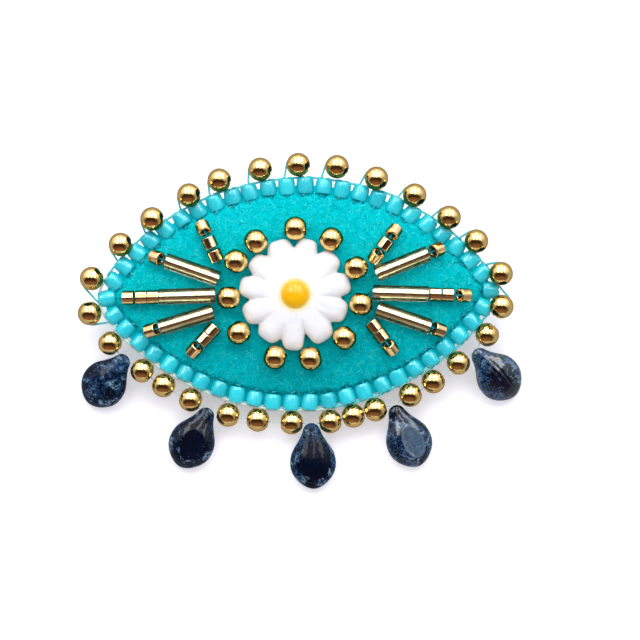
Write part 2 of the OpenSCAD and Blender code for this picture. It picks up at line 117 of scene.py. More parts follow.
# Half widths of a drop along its length, both as shares of the whole
DROP_OUTLINE = [
    (0, 0), (0.012, 0.15), (0.046, 0.289), (0.09, 0.36), (0.146, 0.408), (0.217, 0.505),
    (0.3, 0.654), (0.377, 0.808), (0.454, 0.925), (0.532, 0.98), (0.609, 1), (0.684, 0.98),
    (0.762, 0.907), (0.839, 0.766), (0.907, 0.58), (0.96, 0.37), (0.99, 0.17), (1, 0),
]
# Each petal, clockwise from the top: its tip's reach past the flower's radius, and the
# direction and depth past the usual one of the notch after it
PETALS = [
    (0.1, 0, 0.2), (0.1, 30, 0.15), (0, 63, 0.2), (0, 95, 0.05), (-0.15, 129, 0),
    (-0.1, 167, -0.5), (0, 199, 0.2), (-0.15, 232, 0.2), (-0.05, 265, 0.1), (0.05, 295.5, 0.2),
    (0, 325, 0.3),
]
# Each iris bead: direction from the flower, clockwise from the top, and reach past the usual one
IRIS = [
    (1.4, -0.04), (34.3, -0.06), (67.7, 0), (99.7, 0), (132.8, -0.08), (168, -0.06),
    (199.1, -0.04), (237, 0.2), (268.5, 0.04), (300.6, 0.17), (324.8, -0.03),
]
# Each ray: inner end, heading, how many bugles and cylinder beads it has, how many degrees its
# first and last cylinder bead are tipped, and the gap between its beads
Ray = namedtuple("Ray", "x y heading bugles cylinders first_tip last_tip gap")
RAYS = [
    Ray(-8.5, 3.67, 112.5, 0, 3, 8, 37, 0.2),
    Ray(-8.5, 1.78, 159.5, 1, 1, 0, 38, 0.06),
    Ray(-8.9, 0.05, 180.3, 1, 3, 0, 8, 0.06),
    Ray(-9.15, -1.72, 195.3, 1, 1, 0, 24, 0.06),
    Ray(-8.85, -3.28, 226, 0, 3, 0, 28, 0.08),
    Ray(7.88, 3.13, 52.5, 0, 3, 36, 37, 0.08),
    Ray(8.42, 1.92, 20.6, 1, 1, 0, 38, 0.06),
    Ray(8, -0.03, -3, 1, 3, 0, 36, 0.14),
    Ray(8.42, -1.8, -19.8, 1, 1, 0, 28, 0.06),
    Ray(7.7, -3.15, -54, 0, 3, 0, 34, 0.1),
]


# The rim

TIP_CENTRE_X = RIM_HALF_LENGTH - RIM_TIP_R
ARC_R = (TIP_CENTRE_X**2 + RIM_HALF_HEIGHT**2 - RIM_TIP_R**2) / (2 * (RIM_HALF_HEIGHT - RIM_TIP_R))
ARC_CENTRE_Y = RIM_HALF_HEIGHT - ARC_R
ARC_HALF_ANGLE = math.atan2(TIP_CENTRE_X, -ARC_CENTRE_Y)
TIP_RUN = RIM_TIP_R * (math.pi / 2 - ARC_HALF_ANGLE)
QUARTER_RUN = TIP_RUN + ARC_R * ARC_HALF_ANGLE


def rim(place, out=0.0):
    """Point at a place along the rim and a distance outside it, and the outward direction."""
    turn = (place / EDGE_BEAD_COUNT * 4) % 4
    quarter = int(turn)
    part = (turn - quarter) * QUARTER_RUN
    run = part if quarter % 2 == 0 else QUARTER_RUN - part
    side = np.array([1 if quarter in (0, 3) else -1, 1 if quarter < 2 else -1])
    if run < TIP_RUN:
        angle, centre, radius = math.pi - run / RIM_TIP_R, (-TIP_CENTRE_X, 0), RIM_TIP_R
    else:
        angle = math.pi / 2 + ARC_HALF_ANGLE - (run - TIP_RUN) / ARC_R
        centre, radius = (0, ARC_CENTRE_Y), ARC_R
    outward = side * np.array([math.cos(angle), math.sin(angle)])
    return side * np.array(centre) + (radius + out) * outward, outward


def rim_point(place, out, lift=0.0):
    """Point of the face frame, this far above the middle of the felt."""
    return np.array([*rim(place, out)[0], FELT_MIDDLE + lift])


def rim_place(place, out, height):
    """Placing with X outward, Y against the count along the rim and Z up."""
    point, outward = rim(place, out)
    return placing((*point, height), math.degrees(math.atan2(outward[1], outward[0])))


def placing(point, turn=0.0):
    return Matrix.Translation(point) @ Matrix.Rotation(math.radians(turn), 4, "Z")


def turned(degrees, axis):
    return Matrix.Rotation(math.radians(degrees), 4, axis)


def face_placing():
    """The face frame: its origin is the eye's centre on the felt's back, and Z is the front."""
    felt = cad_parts["felt_base"].data
    front = max(felt.polygons, key=lambda p: p.normal.z).normal.normalized()
    across = Vector((1, 0, 0))
    low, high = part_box("felt_base")
    centre = (low + high) / 2 / MM - front * FELT_THICKNESS / 2
    axes = Matrix((across, front.cross(across), front)).transposed()
    return Matrix.Translation(centre) @ axes.to_4x4()


FACE = face_placing()
FLOWER_PLACE = placing((*FLOWER_AT, FELT_FRONT))


# Shapes: each is an array of vertices and a list of faces

def moved(shape, matrix):
    m = np.array(matrix)
    return shape[0] @ m[:3, :3].T + m[:3, 3], shape[1]


def joined(shapes):
    vertices, faces, start = [], [], 0
    for points, corners in shapes:
        vertices.append(points)
        faces += [tuple(start + c for c in face) for face in corners]
        start += len(points)
    return np.concatenate(vertices), faces


def grid(rows, columns, closed=False):
    """Faces between rows of vertices that run all the way round."""
    faces = []
    for row in range(rows if closed else rows - 1):
        below = (row + 1) % rows * columns
        for column in range(columns):
            after = (column + 1) % columns
            faces.append((row * columns + column, row * columns + after, below + after, below + column))
    return faces


def capped_grid(rows, columns):
    """The same, with a face over the first row and one over the last."""
    last = (rows - 1) * columns
    return grid(rows, columns) + [tuple(range(columns)), tuple(range(last, last + columns))]


def lathe(section, sides, closed=True):
    """A section of (radius, height) points turned round Z."""
    radius, height = np.array(section, float).T
    turn = np.linspace(0, 2 * np.pi, sides, endpoint=False)
    points = np.stack([
        np.outer(radius, np.cos(turn)),
        np.outer(radius, np.sin(turn)),
        np.repeat(height[:, None], sides, axis=1),
    ], axis=-1)
    return points.reshape(-1, 3), grid(len(section), sides, closed)


def smooth_path(points, steps=6):
    """Points along a smooth curve through the given ones."""
    p = np.array(points, float)
    p = np.concatenate([[2 * p[0] - p[1]], p, [2 * p[-1] - p[-2]]])
    t = np.linspace(0, 1, steps, endpoint=False)[:, None]
    curve = [
        0.5 * (2 * b + (c - a) * t + (2 * a - 5 * b + 4 * c - d) * t**2 + (3 * b - a - 3 * c + d) * t**3)
        for a, b, c, d in zip(p[:-3], p[1:-2], p[2:-1], p[3:])
    ]
    return np.concatenate([*curve, [p[-2]]])


def tube(path, radius, sides=8):
    """A thread of this radius along a path."""
    path = np.array(path, float)
    along = np.gradient(path, axis=0)
    along /= np.linalg.norm(along, axis=1)[:, None]
    side = np.cross(along[0], (0.3, 0.2, 0.93))
    rings = []
    turn = np.linspace(0, 2 * np.pi, sides, endpoint=False)[:, None]
    for point, direction in zip(path, along):
        side = side - direction * (side @ direction)
        side /= np.linalg.norm(side)
        other = np.cross(direction, side)
        rings.append(point + radius * (np.cos(turn) * side + np.sin(turn) * other))
    return np.concatenate(rings), capped_grid(len(path), sides)


def linked(name, data):
    obj = bpy.data.objects.new(name, data)
    bpy.context.scene.collection.objects.link(obj)
    return obj


def piece(name, shape, material, replaces=(), tone=None, matrix=FACE, lining=None):
    """An object of the brooch. The tone is a number for each vertex that its material reads.
    The lining is a second material, for faces whose corners all have a tone over a half."""
    vertices, faces = moved(shape, matrix)
    mesh = bpy.data.meshes.new(name)
    mesh.from_pydata((vertices * MM).tolist(), [], faces)
    if tone is not None:
        mesh.attributes.new("tone", "FLOAT", "POINT").data.foreach_set("value", np.array(tone, np.float32))
    tidy = bmesh.new()
    tidy.from_mesh(mesh)
    bmesh.ops.recalc_face_normals(tidy, faces=tidy.faces)
    tidy.to_mesh(mesh)
    tidy.free()
    mesh.polygons.foreach_set("use_smooth", [True] * len(mesh.polygons))
    mesh.materials.append(material)
    if lining is not None:
        mesh.materials.append(lining)
        for polygon in mesh.polygons:
            polygon.material_index = int(min(tone[v] for v in polygon.vertices) > 0.5)
    obj = linked(name, mesh)
    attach(obj, "root")
    if replaces:
        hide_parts(*replaces)


# Materials

def linear(red, green, blue):
    """A colour given as it shows on screen, from 0 to 255."""
    def channel(c):
        c /= 255
        return c / 12.92 if c <= 0.04045 else ((c + 0.055) / 1.055) ** 2.4
    return (channel(red), channel(green), channel(blue), 1.0)


class Graph:
    """A node tree, with short ways to add to it."""

    def __init__(self, tree):
        self.nodes, self.links = tree.nodes, tree.links

    def plug(self, socket, value):
        """Feed a socket from another node's, or give it a value."""
        if isinstance(value, bpy.types.NodeSocket):
            self.links.new(value, socket)
        else:
            socket.default_value = value

    def set(self, node, **sockets):
        for name, value in sockets.items():
            self.plug(node.inputs[name.replace("_", " ")], value)

    def node(self, kind, **sockets):
        node = self.nodes.new("ShaderNode" + kind)
        self.set(node, **sockets)
        return node

    def math(self, operation, *values):
        node = self.node("Math")
        node.operation = operation
        for socket, value in zip(node.inputs, values):
            self.plug(socket, value)
        return node.outputs["Value"]

    def mix(self, share, first, second, blend="MIX"):
        node = self.node("Mix")
        node.data_type = "RGBA"
        node.blend_type = blend
        sockets = {s.identifier: s for s in node.inputs}
        for key, value in (("Factor_Float", share), ("A_Color", first), ("B_Color", second)):
            self.plug(sockets[key], value)
        return {s.identifier: s for s in node.outputs}["Result_Color"]

    def ramp(self, value, *stops):
        """Colours or numbers at places from 0 to 1."""
        node = self.node("ValToRGB", Fac=value)
        elements = node.color_ramp.elements
        while len(elements) < len(stops):
            elements.new(0.5)
        for element, (place, colour) in zip(elements, stops):
            element.position = place
            element.color = colour if hasattr(colour, "__len__") else (colour, colour, colour, 1.0)
        return node.outputs["Color"]

    def choose(self, kind, no, yes):
        """One shader for rays of this kind and another for the rest."""
        node = self.node("MixShader")
        for socket, value in zip(node.inputs, (self.node("LightPath").outputs[kind], no, yes)):
            self.plug(socket, value)
        return node.outputs[0]


class Finish(Graph):
    """A material built up from its shader."""

    def __init__(self, name, **sockets):
        self.material = bpy.data.materials.new(name)
        self.material.use_nodes = True
        super().__init__(self.material.node_tree)
        self.shader = self.nodes["Principled BSDF"]
        self.set(self.shader, **sockets)
        self.place = self.node("TexCoord").outputs["Object"]

    def speckle(self, per_mm, detail=3.0, roughness=0.6, distortion=0.0, stretch=None):
        """Noise with this many cells to the millimetre."""
        place = self.place
        if stretch is not None:
            place = self.node("Mapping", Vector=place, Scale=stretch).outputs["Vector"]
        texture = self.node(
            "TexNoise", Vector=place, Scale=per_mm / MM, Detail=detail,
            Roughness=roughness, Distortion=distortion)
        return texture.outputs["Fac"]

    def tone(self):
        """The number that the mesh gives for each vertex."""
        node = self.node("Attribute")
        node.attribute_name = "tone"
        return node.outputs["Fac"]

    def painted_shade_down(self):
        """Painted shade: light towards the upper edge and darker towards the lower one, as light falls from
        above.
        """
        axes = self.node("SeparateXYZ", Vector=self.place)
        share = self.math("ADD", self.math("MULTIPLY", axes.outputs["Y"], 1 / (24 * MM)), 0.5)
        return self.ramp(share, (0.1, 0.6), (0.55, 0.85), (0.95, 1.0))

    def each_island(self):
        return self.node("NewGeometry").outputs["Random Per Island"]

    def bump(self, height, depth_mm, strength=1.0):
        node = self.node("Bump", Height=height, Distance=depth_mm * MM, Strength=strength)
        self.set(self.shader, Normal=node.outputs["Normal"])

    def colour(self, value):
        self.set(self.shader, Base_Color=value)

    def painted_shade_in_mirrors(self, value):
        """The colour as it is, and with painted shade, darker and browner, where polished beads mirror it.
        """
        painted_mirror_dimming = self.mix(1.0, value, (0.5, 0.26, 0.16, 1.0), "MULTIPLY")
        return self.mix(self.node("LightPath").outputs["Is Glossy Ray"], value, painted_mirror_dimming)


def felt_finish():
    """Dense felt, with painted shade that darkens it towards the lower edge. The grain is the cut ends of
    its fibres.
    """
    f = Finish("felt", Roughness=1.0, Specular_IOR_Level=0.0)
    grain = f.speckle(7.5, detail=4, roughness=0.8, distortion=1.8)
    patches = f.speckle(0.5, detail=2)
    fine = f.ramp(
        grain, (0.33, linear(0, 178, 188)), (0.5, linear(0, 230, 240)), (0.66, linear(30, 250, 255)))
    deep = f.mix(f.ramp(patches, (0.4, 0.0), (0.65, 0.25)), fine, linear(0, 206, 216))
    # Painted shade: darker towards the lower edge, and darker and browner where polished beads mirror it.
    f.colour(f.painted_shade_in_mirrors(f.mix(1.0, deep, f.painted_shade_down(), "MULTIPLY")))
    f.bump(grain, 0.14)
    return f.material


def fibre_finish():
    f = Finish("felt_fibres", Roughness=1.0, Specular_IOR_Level=0.0)
    own = f.ramp(
        f.each_island(), (0.0, linear(0, 136, 146)), (0.35, linear(0, 220, 230)),
        (0.84, linear(8, 246, 252)), (1.0, linear(100, 255, 255)))
    # Painted shade: darker towards the lower edge, and darker and browner where polished beads mirror it.
    f.colour(f.painted_shade_in_mirrors(f.mix(1.0, own, f.painted_shade_down(), "MULTIPLY")))
    return f.material


def seed_finish():
    f = Finish(
        "seed_glass", Roughness=0.35, Coat_Weight=1.0, Coat_Roughness=0.07,
        Subsurface_Weight=0.15, Subsurface_Scale=0.4 * MM)
    own = f.ramp(
        f.each_island(), (0.0, linear(4, 196, 214)), (0.5, linear(10, 210, 226)),
        (1.0, linear(30, 220, 234)))
    streaks = f.speckle(2.2, detail=2, distortion=0.6)
    # Painted shade: darker and browner where polished beads mirror it.
    f.colour(f.painted_shade_in_mirrors(f.mix(f.ramp(streaks, (0.4, 0.0), (0.75, 0.35)), own, linear(90, 232, 240))))
    f.bump(f.speckle(2.6, detail=2), 0.035)
    return f.material


def gold_finish(name, body, roughness, wave_mm, bare_shaded_bore=True):
    """Polished plating, with the faint waves and worn spots of small cheap beads. The tone
    is 1 inside a bead's hole, where the plating ends and painted shade darkens it, unless the whole bead is
    plated."""
    # The dark brown edge tint is painted shade: it dims the rims, which mirror the shaded felt beside the
    # beads.
    f = Finish(name, Specular_Tint=(0.62, 0.42, 0.25, 1.0), Metallic=1.0)
    blotches = f.speckle(1.6, detail=4, roughness=0.65)
    plate = f.ramp(blotches, (0.3, tuple(0.84 * c for c in body[:3]) + (1.0,)), (0.6, body))
    f.colour(plate)
    if bare_shaded_bore:
        f.set(f.shader, Metallic=f.ramp(f.tone(), (0.5, 1.0), (0.9, 0.0)))
        # Painted shade: the inside of the hole is near-black teal.
        f.colour(f.mix(f.tone(), plate, (0.004, 0.06, 0.065, 1.0)))
    worn = f.ramp(f.speckle(4.0, detail=3), (0.35, roughness), (0.75, roughness + 0.08))
    f.set(f.shader, Roughness=worn)
    f.bump(f.speckle(0.9, detail=3, roughness=0.45), wave_mm)
    return f.material


def clear_glass_finish():
    """Clear glass round a gold lining."""
    f = Finish("tube_glass", Roughness=0.02, IOR=1.5, Transmission_Weight=1.0)
    f.colour(f.ramp(f.speckle(0.8, detail=2), (0.3, (1.0, 0.97, 0.9, 1.0)), (0.7, (0.98, 0.98, 0.94, 1.0))))
    f.bump(f.speckle(0.9, detail=2, stretch=(0.2, 1, 1)), 0.01)
    return f.material


def shell_finish():
    """White shell: the tone is 1 beside the yolk and 0 a little way out."""
    f = Finish(
        "shell", Roughness=0.25, Specular_IOR_Level=0.35, Coat_Weight=0.22, Coat_Roughness=0.06,
        Subsurface_Weight=0.35, Subsurface_Scale=0.6 * MM, Subsurface_Radius=(0.5, 0.5, 0.5))
    clouds = f.speckle(0.35, detail=3, distortion=0.8)
    nacre = f.ramp(
        clouds, (0.3, linear(236, 240, 247)), (0.5, linear(249, 250, 252)), (0.7, linear(243, 244, 250)))
    halo = f.ramp(f.tone(), (0.0, 0.0), (0.55, 0.1), (1.0, 0.8))
    f.colour(f.mix(halo, nacre, linear(255, 226, 110)))
    f.bump(f.speckle(0.8, detail=2), 0.02)
    return f.material


def yolk_finish():
    """Yolk-yellow enamel: the tone runs from 0 in the middle to 1 at its edge."""
    f = Finish(
        "yolk", Roughness=0.16, Specular_IOR_Level=0.5,
        Subsurface_Weight=0.2, Subsurface_Scale=0.4 * MM)
    clouds = f.ramp(f.speckle(0.9, detail=2), (0.3, linear(255, 186, 0)), (0.7, linear(255, 198, 0)))
    f.colour(f.mix(f.ramp(f.tone(), (0.82, 0.0), (1.0, 0.8)), clouds, linear(255, 236, 130)))
    f.bump(f.speckle(1.2, detail=2), 0.02)
    return f.material


def thread_finish():
    """Beading thread. The tone is 1 where it lies shaded in the felt."""
    f = Finish("thread", Roughness=0.5, Specular_IOR_Level=0.2)
    plies = f.speckle(9.0, detail=2, distortion=0.5)
    lit = f.ramp(
        plies, (0.3, linear(40, 170, 180)), (0.55, linear(90, 214, 222)), (0.8, linear(150, 232, 236)))
    shaded = f.ramp(plies, (0.3, linear(0, 118, 128)), (0.7, linear(0, 176, 186)))
    f.colour(f.mix(f.tone(), lit, shaded))
    f.bump(plies, 0.03)
    return f.material


def clear_thread_finish():
    f = Finish("clear_thread", Roughness=0.4, Transmission_Weight=0.2, IOR=1.4)
    plies = f.speckle(9.0, detail=2, distortion=0.5)
    f.colour(f.ramp(plies, (0.3, linear(190, 236, 222)), (0.8, linear(244, 252, 238))))
    f.bump(plies, 0.02)
    return f.material


def drop_finish(name, gloss):
    """Dark pressed glass with a mottled coat. The tone says how much of the coat a spot has, and where it
    is high a painted reflection turns the glass smooth pale grey-blue.
    """
    f = Finish(
        name, Roughness=0.3, Specular_IOR_Level=0.03,
        Coat_Weight=gloss, Coat_Roughness=0.02, Coat_IOR=1.7)
    big = f.speckle(0.8, detail=3, roughness=0.6, distortion=0.8)
    small = f.speckle(2.2, detail=5, roughness=0.75, distortion=1.6)
    coat = f.math("ADD", f.math("MULTIPLY", small, 1.1), f.math("MULTIPLY", big, 0.5))
    amount = f.ramp(f.math("ADD", coat, f.tone()), (0.83, 0.0), (0.91, 0.95))
    hues = f.ramp(
        big, (0.32, linear(96, 136, 122)), (0.4, linear(48, 104, 124)), (0.5, linear(34, 72, 126)),
        (0.58, linear(84, 128, 164)), (0.68, linear(148, 176, 194)))
    fine = f.ramp(f.speckle(5.0, detail=3), (0.35, linear(50, 70, 90)), (0.6, 1.0))
    glass = f.ramp(small, (0.3, linear(2, 5, 16)), (0.7, linear(8, 18, 42)))
    mottled = f.mix(f.mix(1.0, amount, fine, "MULTIPLY"), glass, hues)
    # Painted reflection: a smooth pale grey-blue where the tone is high.
    painted_veil = f.ramp(f.tone(), (0.22, 0.0), (0.34, 0.7), (0.6, 0.9))
    f.colour(f.mix(painted_veil, mottled, f.ramp(small, (0.3, linear(70, 86, 102)), (0.7, linear(118, 134, 150)))))
    f.bump(f.math("ADD", small, f.math("MULTIPLY", big, 2.0)), 0.05, 0.7)
    return f.material


def steel_finish():
    f = Finish("pin_steel", Metallic=1.0)
    grain = f.speckle(6.0, detail=3, stretch=(0.08, 1, 1))
    f.colour(f.ramp(grain, (0.3, linear(168, 168, 172)), (0.7, linear(206, 206, 210))))
    f.set(f.shader, Roughness=f.ramp(grain, (0.3, 0.24), (0.7, 0.4)))
    f.bump(grain, 0.02)
    return f.material


# How much brighter than white the camera sees the paper
FLOOR_GLOW = 0.36


def floor_finish():
    """White paper, lit a little past white for the camera and seen dimmer in polished beads."""
    material = bpy.data.materials.new("floor")
    material.use_nodes = True
    g = Graph(material.node_tree)
    g.nodes.clear()
    grain = g.node("TexNoise", Vector=g.node("TexCoord").outputs["Object"], Scale=40.0)
    tint = g.ramp(grain.outputs["Fac"], (0.0, (0.9, 0.89, 0.93, 1.0)), (1.0, (0.93, 0.92, 0.95, 1.0)))
    paper = g.node("BsdfDiffuse", Color=tint)
    strength = g.math("MULTIPLY", g.node("LightPath").outputs["Is Camera Ray"], FLOOR_GLOW)
    glow = g.node("Emission", Color=(0.98, 0.97, 1.0, 1.0), Strength=strength)
    dim = g.node("Emission", Color=(0.5, 0.47, 0.46, 1.0))
    both = g.node("AddShader")
    for socket, shader in zip(both.inputs, (paper, glow)):
        g.plug(socket, shader.outputs[0])
    g.node("OutputMaterial", Surface=g.choose("Is Glossy Ray", both.outputs[0], dim.outputs[0]))
    return material


FELT = felt_finish()
FIBRES = fibre_finish()
SEED = seed_finish()
GOLD = gold_finish("gold", (0.95, 0.71, 0.29, 1.0), 0.05, 0.04)
BUGLE_GLASS = clear_glass_finish()
BUGLE_LINING = gold_finish("bugle_lining", (0.87, 0.86, 0.62, 1.0), 0.15, 0.02, False)
CYLINDER_GOLD = gold_finish("cylinder_gold", (0.98, 0.77, 0.42, 1.0), 0.07, 0.03)
SHELL = shell_finish()
YOLK = yolk_finish()
THREAD = thread_finish()
CLEAR_THREAD = clear_thread_finish()
STEEL = steel_finish()


# Felt

OUTLINE_STEPS = 420
FELT_RINGS = 70
# The felt's edge is this far outside the rim
FELT_REACH = 0.1
# Where the seed beads press the felt down: how far in from its edge, and how deep
PRESSED_FROM = 1.35
PRESSED_TO = 0.95
PRESSED_DEPTH = 0.75
# The felt sits a little low in its ring of seed beads
FELT_SAG = 0.45
# The dimple that each stitch makes
DIMPLE_R = 0.3
DIMPLE_DEPTH = 0.26
# Fibres start this far in from the edge, and this deep in the felt
FIBRES_FROM = 0.8
FIBRE_SINK = 0.015


def felt_edge(place):
    point, outward = rim(place, FELT_REACH)
    return point + FELT_SAG * max(0, -outward[1]) * outward


felt_outline = np.array([felt_edge(EDGE_BEAD_COUNT * k / OUTLINE_STEPS) for k in range(OUTLINE_STEPS)])

# Where the edging's thread goes into the felt, beside each seed bead
stitch_insets = 0.9 + rng.uniform(0.12, 0.36, EDGE_BEAD_COUNT)
stitch_holes = np.array([
    rim(k + rng.uniform(-0.3, 0.3), -inset)[0] for k, inset in enumerate(stitch_insets)])


def felt_dimples(points):
    """How far the felt is drawn down by the stitches."""
    depth = np.zeros(len(points))
    for hole in stitch_holes:
        depth += DIMPLE_DEPTH * np.exp(-((points - hole) ** 2).sum(axis=1) / DIMPLE_R**2)
    return depth


def felt_noise(points, per_mm, seed):
    return np.array([noise.noise(Vector((x * per_mm, y * per_mm, seed))) for x, y in points])


def inward(points):
    """How far in from the felt's edge points of the face are."""
    return ARC_R + FELT_REACH - np.hypot(points[:, 0], np.abs(points[:, 1]) - ARC_CENTRE_Y)


def felt_front(points):
    """Height of the felt's front at points of the face."""
    waves = 0.05 * (1 + felt_noise(points, 0.9, 3.7)) + 0.03 * (1 + felt_noise(points, 2.6, 8.1))
    return FELT_THICKNESS - waves - felt_dimples(points)


def felt_fall(distance):
    """How far the felt's front has fallen at a distance in from its edge."""
    share = np.clip((PRESSED_FROM - distance) / (PRESSED_FROM - PRESSED_TO), 0, 1)
    return PRESSED_DEPTH * share**2 * (3 - 2 * share)


def felt():
    reach = np.linalg.norm(felt_outline, axis=1)
    rings = []
    for share in 1 - (1 - np.linspace(0.02, 1, FELT_RINGS)) ** 1.6:
        points = felt_outline * share
        at_edge = reach * (1 - share) < PRESSED_TO / 2
        fall = np.where(at_edge, PRESSED_DEPTH, felt_fall(inward(points)))
        rings.append(np.column_stack([points, felt_front(points) - fall]))
    for height in np.linspace(FELT_THICKNESS - PRESSED_DEPTH, 0.2, 6)[1:]:
        fuzz = 1 - 0.002 * (1 + felt_noise(felt_outline, 2.0, height))
        rings.append(np.column_stack([felt_outline * fuzz[:, None], np.full(OUTLINE_STEPS, height)]))
    for share in (0.985, 0.96, 0.6, 0.02):
        rings.append(np.column_stack([felt_outline * share, np.zeros(OUTLINE_STEPS)]))
    shape = np.concatenate(rings), capped_grid(len(rings), OUTLINE_STEPS)
    piece("felt_cut", shape, FELT, ["felt_base"])


def felt_fibres(name, count, length, width, rise):
    """Loose curled fibres on the felt's front, each a strip of three steps."""
    corner = np.array((RIM_HALF_LENGTH, RIM_HALF_HEIGHT))
    points = rng.uniform(-corner, corner, (count * 2, 2))
    inside = (inward(points) > FIBRES_FROM) & (np.abs(points[:, 0]) < TIP_CENTRE_X + 0.6)
    points = points[inside][:count]
    headings = rng.uniform(0, 2 * np.pi, len(points))
    lengths = rng.uniform(*length, len(points))
    curls = rng.normal(0, 1.1, len(points))
    widths = rng.uniform(*width, len(points))
    rises = rng.uniform(*rise, len(points))
    ground = felt_front(points) - felt_fall(inward(points)) - FIBRE_SINK
    share = np.linspace(-0.5, 0.5, 4)
    vertices, faces = [], []
    for k, point in enumerate(points):
        turn = headings[k] + curls[k] * share
        along = np.column_stack([np.cos(turn), np.sin(turn)])
        run = np.concatenate([[[0, 0]], np.cumsum(along[:-1] * lengths[k] / 3, axis=0)])
        line = np.column_stack([point + run - run[2], ground[k] + rises[k] * (1 - (2 * share) ** 2)])
        side = np.column_stack([-along[:, 1], along[:, 0], np.zeros(4)]) * widths[k] / 2
        vertices.append(np.stack([line - side, line + side], axis=1).reshape(-1, 3))
        faces += [tuple(k * 8 + 2 * i + c for c in (0, 1, 3, 2)) for i in range(3)]
    piece(name, (np.concatenate(vertices), faces), FIBRES)


# Seed beads along the edge

SEED_D = 1.86
SEED_LENGTH = 1.72
SEED_END = SEED_LENGTH / 2
SEED_BORE_R = 0.4
SEED_RINGS = 24
SEED_SIDES = 32

# How far each seed bead sits outside the rim and where along it, as its own thread has it
counts = np.arange(EDGE_BEAD_COUNT)
seed_outs = 0.06 * np.sin(counts * 0.55 - 0.4) + rng.normal(0, 0.025, EDGE_BEAD_COUNT)
seed_places = counts + rng.normal(0, 0.02, EDGE_BEAD_COUNT)


def rounded_section(inner_r, outer_r, half_length, squareness):
    """Closed section of a bead whose corners are well rounded."""
    turn = np.linspace(0, 2 * np.pi, SEED_RINGS, endpoint=False)
    c, s = np.cos(turn), np.sin(turn)
    middle, half = (inner_r + outer_r) / 2, (outer_r - inner_r) / 2
    return np.column_stack([
        middle + half * np.sign(c) * np.abs(c) ** squareness,
        half_length * np.sign(s) * np.abs(s) ** squareness,
    ])


def edge_beads():
    beads = []
    for k in range(EDGE_BEAD_COUNT):
        outer = SEED_D / 2 * rng.uniform(0.97, 1.02)
        half = SEED_END * rng.uniform(0.94, 1.07)
        bead = lathe(rounded_section(SEED_BORE_R, outer, half, rng.uniform(0.7, 0.86)), SEED_SIDES)
        lean = turned(rng.normal(0, 5), "X") @ turned(rng.normal(0, 4), "Y")
        spot = rim_place(seed_places[k], seed_outs[k], FELT_MIDDLE) @ turned(90, "Y")
        beads.append(moved(bead, spot @ lean))
    piece("seed_beads", joined(beads), SEED, ["edge_beads"])


def seed_mouth(k, out, side=0.0, lift=0.0):
    """Point near a seed bead's hole: this far out from the bead's middle, along the rim and up."""
    k %= EDGE_BEAD_COUNT
    return rim_point(seed_places[k] + side, out + seed_outs[k], lift)


# The edging's thread is pale from this place on, round to the left tip
PALE_EDGING_FROM = 36


def edging_threads():
    """Thread from each seed bead's hole over to the next, and its stitches in the felt."""
    strands, tones, lower = [], [], []
    for k in range(EDGE_BEAD_COUNT):
        middle = SEED_END - 0.04 + rng.uniform(-0.04, 0.06)
        over = [
            seed_mouth(k, SEED_END - 0.5),
            seed_mouth(k, SEED_END + 0.02, 0.08, 0.15),
            (seed_mouth(k, middle, 0.3, 0.3) + seed_mouth(k + 1, middle, -0.3, 0.3)) / 2,
            seed_mouth(k + 1, SEED_END + 0.02, -0.08, 0.15),
            seed_mouth(k + 1, SEED_END - 0.5),
        ]
        bridge = tube(smooth_path(over), EDGING_R)
        if 0 < k < PALE_EDGING_FROM:
            strands.append(bridge)
            tones.append(np.zeros(len(bridge[0])))
        else:
            lower.append(bridge)
        hole = stitch_holes[k]
        ground = felt_front(hole[None])[0]
        ledge = seed_mouth(k, -SEED_END - 0.1, rng.uniform(-0.1, 0.1), 0.7)
        stitch = [
            seed_mouth(k, 0.3 - SEED_END, 0, 0.2),
            ledge,
            (*(0.4 * ledge[:2] + 0.6 * hole), ground + 0.16),
            (*hole, ground - 0.05),
            (*(hole * 0.995), ground - 0.3),
        ]
        strands.append(tube(smooth_path(stitch), STITCH_R))
        tones.append(np.full(len(strands[-1][0]), rng.uniform(0.5, 1.0)))
    piece("edging_threads", joined(strands), THREAD, tone=np.concatenate(tones))
    piece("lower_edging", joined(lower), CLEAR_THREAD)


# Gold round beads

ROUND_RINGS = 40
ROUND_SIDES = 56


def round_bead():
    """Ball whose hole has rounded lips, and the tone of each of its vertices."""
    r, bore = ROUND_D / 2, ROUND_BORE_D / 2
    lip = math.asin((bore + 0.07) / r)
    ball = [(r * math.sin(a), r * math.cos(a)) for a in np.linspace(lip, math.pi - lip, ROUND_RINGS)]
    end = r * math.cos(lip)
    hole = [(bore + 0.03, 0.01 - end), (bore, 0.06 - end), (bore, 0.12 - end)]
    hole += [(x, -y) for x, y in reversed(hole)]
    tone = [0.0] * (len(ball) + 1) + [0.4, 1.0, 1.0, 0.4, 0.0]
    return moved(lathe(ball + hole, ROUND_SIDES), turned(90, "X")), np.repeat(tone, ROUND_SIDES)


def lash_height(out):
    reach = ROUND_D / 2 + EDGE_BEAD_D / 2 + SEAT
    return FELT_MIDDLE + max(LASH_RAISE, math.sqrt(max(0, reach**2 - out**2)))


def lash_placing(i):
    place, out = LASH[i]
    return rim_place(place, out, lash_height(out)) @ turned(-LASH_TURN, "Z") @ turned(-LASH_DIP, "X")


